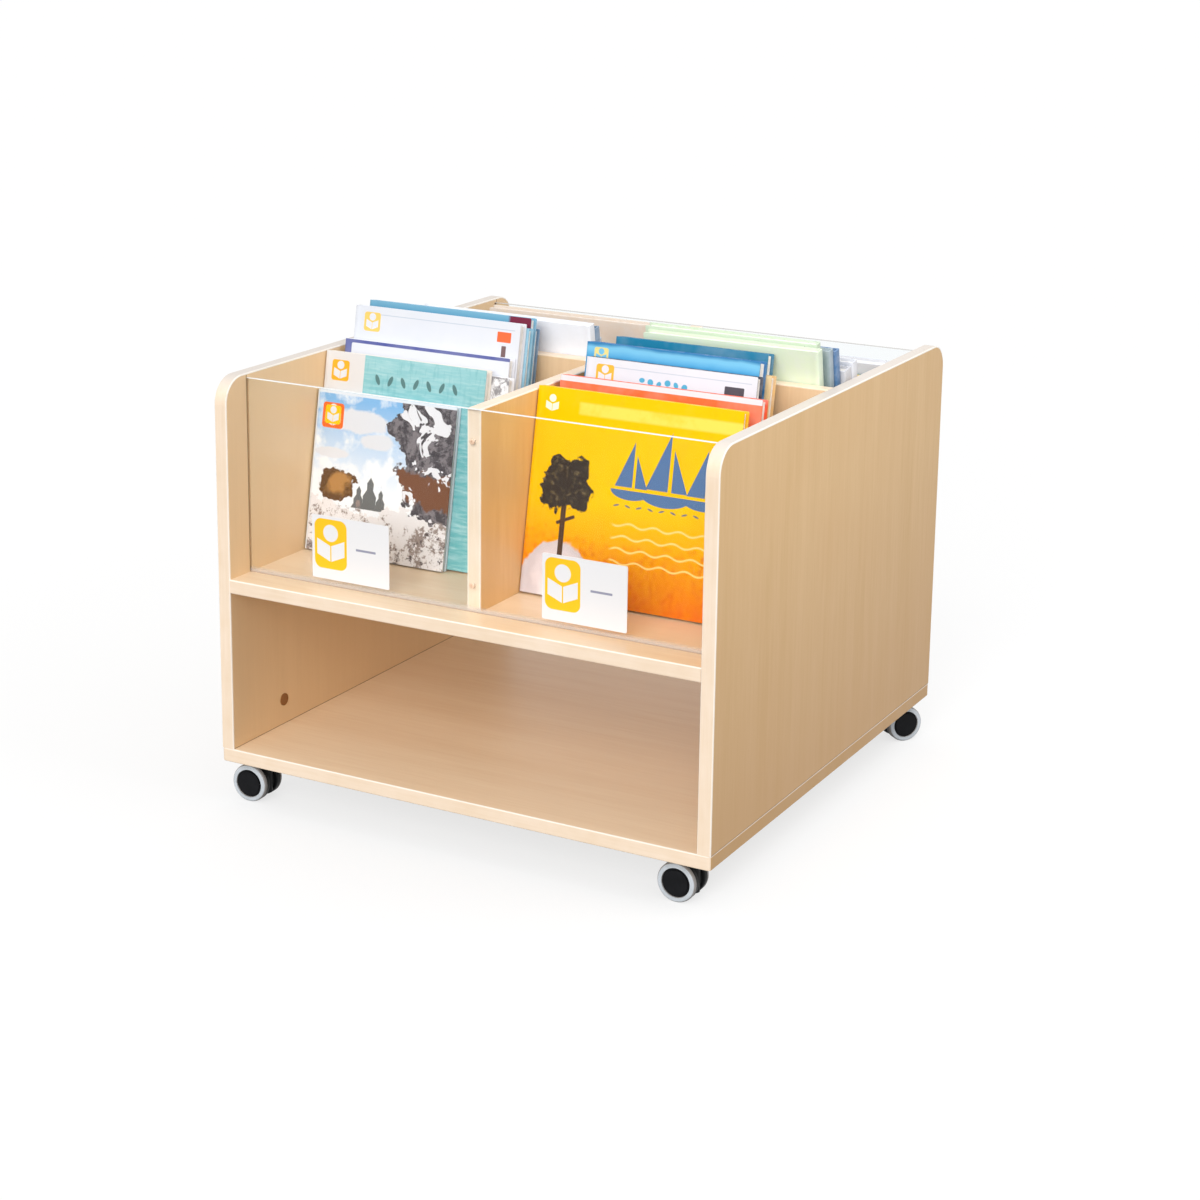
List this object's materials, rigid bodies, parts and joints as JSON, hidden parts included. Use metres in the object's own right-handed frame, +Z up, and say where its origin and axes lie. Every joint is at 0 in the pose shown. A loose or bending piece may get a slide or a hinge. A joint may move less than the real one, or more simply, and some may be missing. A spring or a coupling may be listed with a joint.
{
  "type": "picture book browser bin",
  "caption": "Square mobile picture book browser bin: laminate boards, clear front and rear panels, divided book bays, open lower storage, twin-wheel swivel casters.",
  "frame": {"origin": "on the floor under the middle of the bin", "axes": "+Z up, -Y towards the front with the label cards, +X to the right as seen from the front"},
  "size_m": [0.7, 0.7029, 0.6173],
  "materials": {
    "laminate": "beech-pattern laminate on board, satin",
    "edge_band": "pale maple edge banding, satin",
    "clear_acrylic": "clear acrylic sheet, polished edges",
    "fixing_heads": "painted pan-head screws",
    "zinc_steel": "zinc-plated steel",
    "cam_zinc": "die-cast zinc",
    "beech_dowel": "fluted beech dowel",
    "brown_cap": "brown plastic cover cap",
    "label_card": "white printed card with a yellow square",
    "black_nylon": "black nylon, fine satin",
    "soft_ring": "pale grey soft ring",
    "cover_sky": "printed hardback cover, gloss film",
    "cover_teal": "printed hardback cover, gloss film",
    "covers_white_blue": "printed hardback covers, gloss film",
    "cover_yellow": "printed hardback cover, gloss film",
    "cover_orange": "printed hardback cover, gloss film",
    "covers_white_sky": "printed hardback covers, gloss film",
    "covers_white": "printed hardback covers, gloss film",
    "covers_green": "printed hardback covers, gloss film"
  },
  "bodies": {
    "bin": {"base_board": "laminate", "base_edge_band": "edge_band", "side_panel_left": "laminate", "side_edge_band_left": "edge_band", "side_panel_right": "laminate", "side_edge_band_right": "edge_band", "bin_shelf": "laminate", "shelf_edge_bands": "edge_band", "cross_divider": "laminate", "front_divider": "laminate", "rear_divider": "laminate", "divider_edge_bands": "edge_band", "front_acrylic_panel": "clear_acrylic", "rear_acrylic_panel": "clear_acrylic", "acrylic_screws": "fixing_heads", "divider_screws": "zinc_steel", "dowels": "beech_dowel", "cam_bolts": "zinc_steel", "cam_locks": "cam_zinc", "cam_caps": "brown_cap", "label_card_left": "label_card", "label_card_right": "label_card", "caster_screws": "zinc_steel", "caster_kingpins": "zinc_steel", "caster_plate_front_left": "zinc_steel", "caster_plate_front_right": "zinc_steel", "caster_plate_rear_left": "zinc_steel", "caster_plate_rear_right": "zinc_steel"},
    "swivel_front_left": {"caster_hood_front_left": "black_nylon", "caster_axle_front_left": "zinc_steel"},
    "wheel_front_left_a": {"wheel_core_front_left_a": "black_nylon", "wheel_ring_front_left_a": "soft_ring"},
    "wheel_front_left_b": {"wheel_core_front_left_b": "black_nylon", "wheel_ring_front_left_b": "soft_ring"},
    "swivel_front_right": {"caster_hood_front_right": "black_nylon", "caster_axle_front_right": "zinc_steel"},
    "wheel_front_right_a": {"wheel_core_front_right_a": "black_nylon", "wheel_ring_front_right_a": "soft_ring"},
    "wheel_front_right_b": {"wheel_core_front_right_b": "black_nylon", "wheel_ring_front_right_b": "soft_ring"},
    "swivel_rear_left": {"caster_hood_rear_left": "black_nylon", "caster_axle_rear_left": "zinc_steel"},
    "wheel_rear_left_a": {"wheel_core_rear_left_a": "black_nylon", "wheel_ring_rear_left_a": "soft_ring"},
    "wheel_rear_left_b": {"wheel_core_rear_left_b": "black_nylon", "wheel_ring_rear_left_b": "soft_ring"},
    "swivel_rear_right": {"caster_hood_rear_right": "black_nylon", "caster_axle_rear_right": "zinc_steel"},
    "wheel_rear_right_a": {"wheel_core_rear_right_a": "black_nylon", "wheel_ring_rear_right_a": "soft_ring"},
    "wheel_rear_right_b": {"wheel_core_rear_right_b": "black_nylon", "wheel_ring_rear_right_b": "soft_ring"},
    "picture_book_a": {"picture_book_a": "cover_sky"},
    "picture_book_b": {"picture_book_b": "cover_teal"},
    "books_front_left": {"books_front_left": "covers_white_blue"},
    "picture_book_c": {"picture_book_c": "cover_yellow"},
    "picture_book_d": {"picture_book_d": "cover_orange"},
    "books_front_right": {"books_front_right": "covers_white_sky"},
    "books_rear_left": {"books_rear_left": "covers_white"},
    "books_rear_right": {"books_rear_right": "covers_green"}
  },
  "joints": [
    {"name": "swivel_front_left", "type": "hinge", "parent": "bin", "child": "swivel_front_left", "pos_m": [-0.31, -0.31, 0.055], "axis": [0, 0, 1], "continuous": true},
    {"name": "roll_front_left_a", "type": "hinge", "parent": "swivel_front_left", "child": "wheel_front_left_a", "pos_m": [-0.32398, -0.31073, 0.025], "axis": [0.0523, -0.9986, 0], "continuous": true},
    {"name": "roll_front_left_b", "type": "hinge", "parent": "swivel_front_left", "child": "wheel_front_left_b", "pos_m": [-0.32398, -0.31073, 0.025], "axis": [0.0523, -0.9986, 0], "continuous": true},
    {"name": "swivel_front_right", "type": "hinge", "parent": "bin", "child": "swivel_front_right", "pos_m": [0.31, -0.31, 0.055], "axis": [0, 0, 1], "continuous": true},
    {"name": "roll_front_right_a", "type": "hinge", "parent": "swivel_front_right", "child": "wheel_front_right_a", "pos_m": [0.296, -0.31024, 0.025], "axis": [0.0175, -0.9998, 0], "continuous": true},
    {"name": "roll_front_right_b", "type": "hinge", "parent": "swivel_front_right", "child": "wheel_front_right_b", "pos_m": [0.296, -0.31024, 0.025], "axis": [0.0175, -0.9998, 0], "continuous": true},
    {"name": "swivel_rear_left", "type": "hinge", "parent": "bin", "child": "swivel_rear_left", "pos_m": [-0.31, 0.31, 0.055], "axis": [0, 0, 1], "continuous": true},
    {"name": "roll_rear_left_a", "type": "hinge", "parent": "swivel_rear_left", "child": "wheel_rear_left_a", "pos_m": [-0.31657, 0.32236, 0.025], "axis": [-0.8829, -0.4695, 0], "continuous": true},
    {"name": "roll_rear_left_b", "type": "hinge", "parent": "swivel_rear_left", "child": "wheel_rear_left_b", "pos_m": [-0.31657, 0.32236, 0.025], "axis": [-0.8829, -0.4695, 0], "continuous": true},
    {"name": "swivel_rear_right", "type": "hinge", "parent": "bin", "child": "swivel_rear_right", "pos_m": [0.31, 0.31, 0.055], "axis": [0, 0, 1], "continuous": true},
    {"name": "roll_rear_right_a", "type": "hinge", "parent": "swivel_rear_right", "child": "wheel_rear_right_a", "pos_m": [0.31881, 0.32088, 0.025], "axis": [-0.7771, 0.6293, 0], "continuous": true},
    {"name": "roll_rear_right_b", "type": "hinge", "parent": "swivel_rear_right", "child": "wheel_rear_right_b", "pos_m": [0.31881, 0.32088, 0.025], "axis": [-0.7771, 0.6293, 0], "continuous": true},
    {"name": "lift_picture_book_a", "type": "slide", "parent": "bin", "child": "picture_book_a", "axis": [0, 0.1736, 0.9848], "range_m": [0, 0.3]},
    {"name": "lift_picture_book_b", "type": "slide", "parent": "bin", "child": "picture_book_b", "axis": [0, 0.1736, 0.9848], "range_m": [0, 0.3]},
    {"name": "lift_books_front_left", "type": "slide", "parent": "bin", "child": "books_front_left", "axis": [0, 0.1736, 0.9848], "range_m": [0, 0.3]},
    {"name": "lift_picture_book_c", "type": "slide", "parent": "bin", "child": "picture_book_c", "axis": [0, 0.1736, 0.9848], "range_m": [0, 0.3]},
    {"name": "lift_picture_book_d", "type": "slide", "parent": "bin", "child": "picture_book_d", "axis": [0, 0.1736, 0.9848], "range_m": [0, 0.3]},
    {"name": "lift_books_front_right", "type": "slide", "parent": "bin", "child": "books_front_right", "axis": [0, 0.1736, 0.9848], "range_m": [0, 0.3]},
    {"name": "lift_books_rear_left", "type": "slide", "parent": "bin", "child": "books_rear_left", "axis": [0, 0.1736, -0.9848], "range_m": [-0.3, 0]},
    {"name": "lift_books_rear_right", "type": "slide", "parent": "bin", "child": "books_rear_right", "axis": [0, 0.1736, -0.9848], "range_m": [-0.3, 0]}
  ]
}
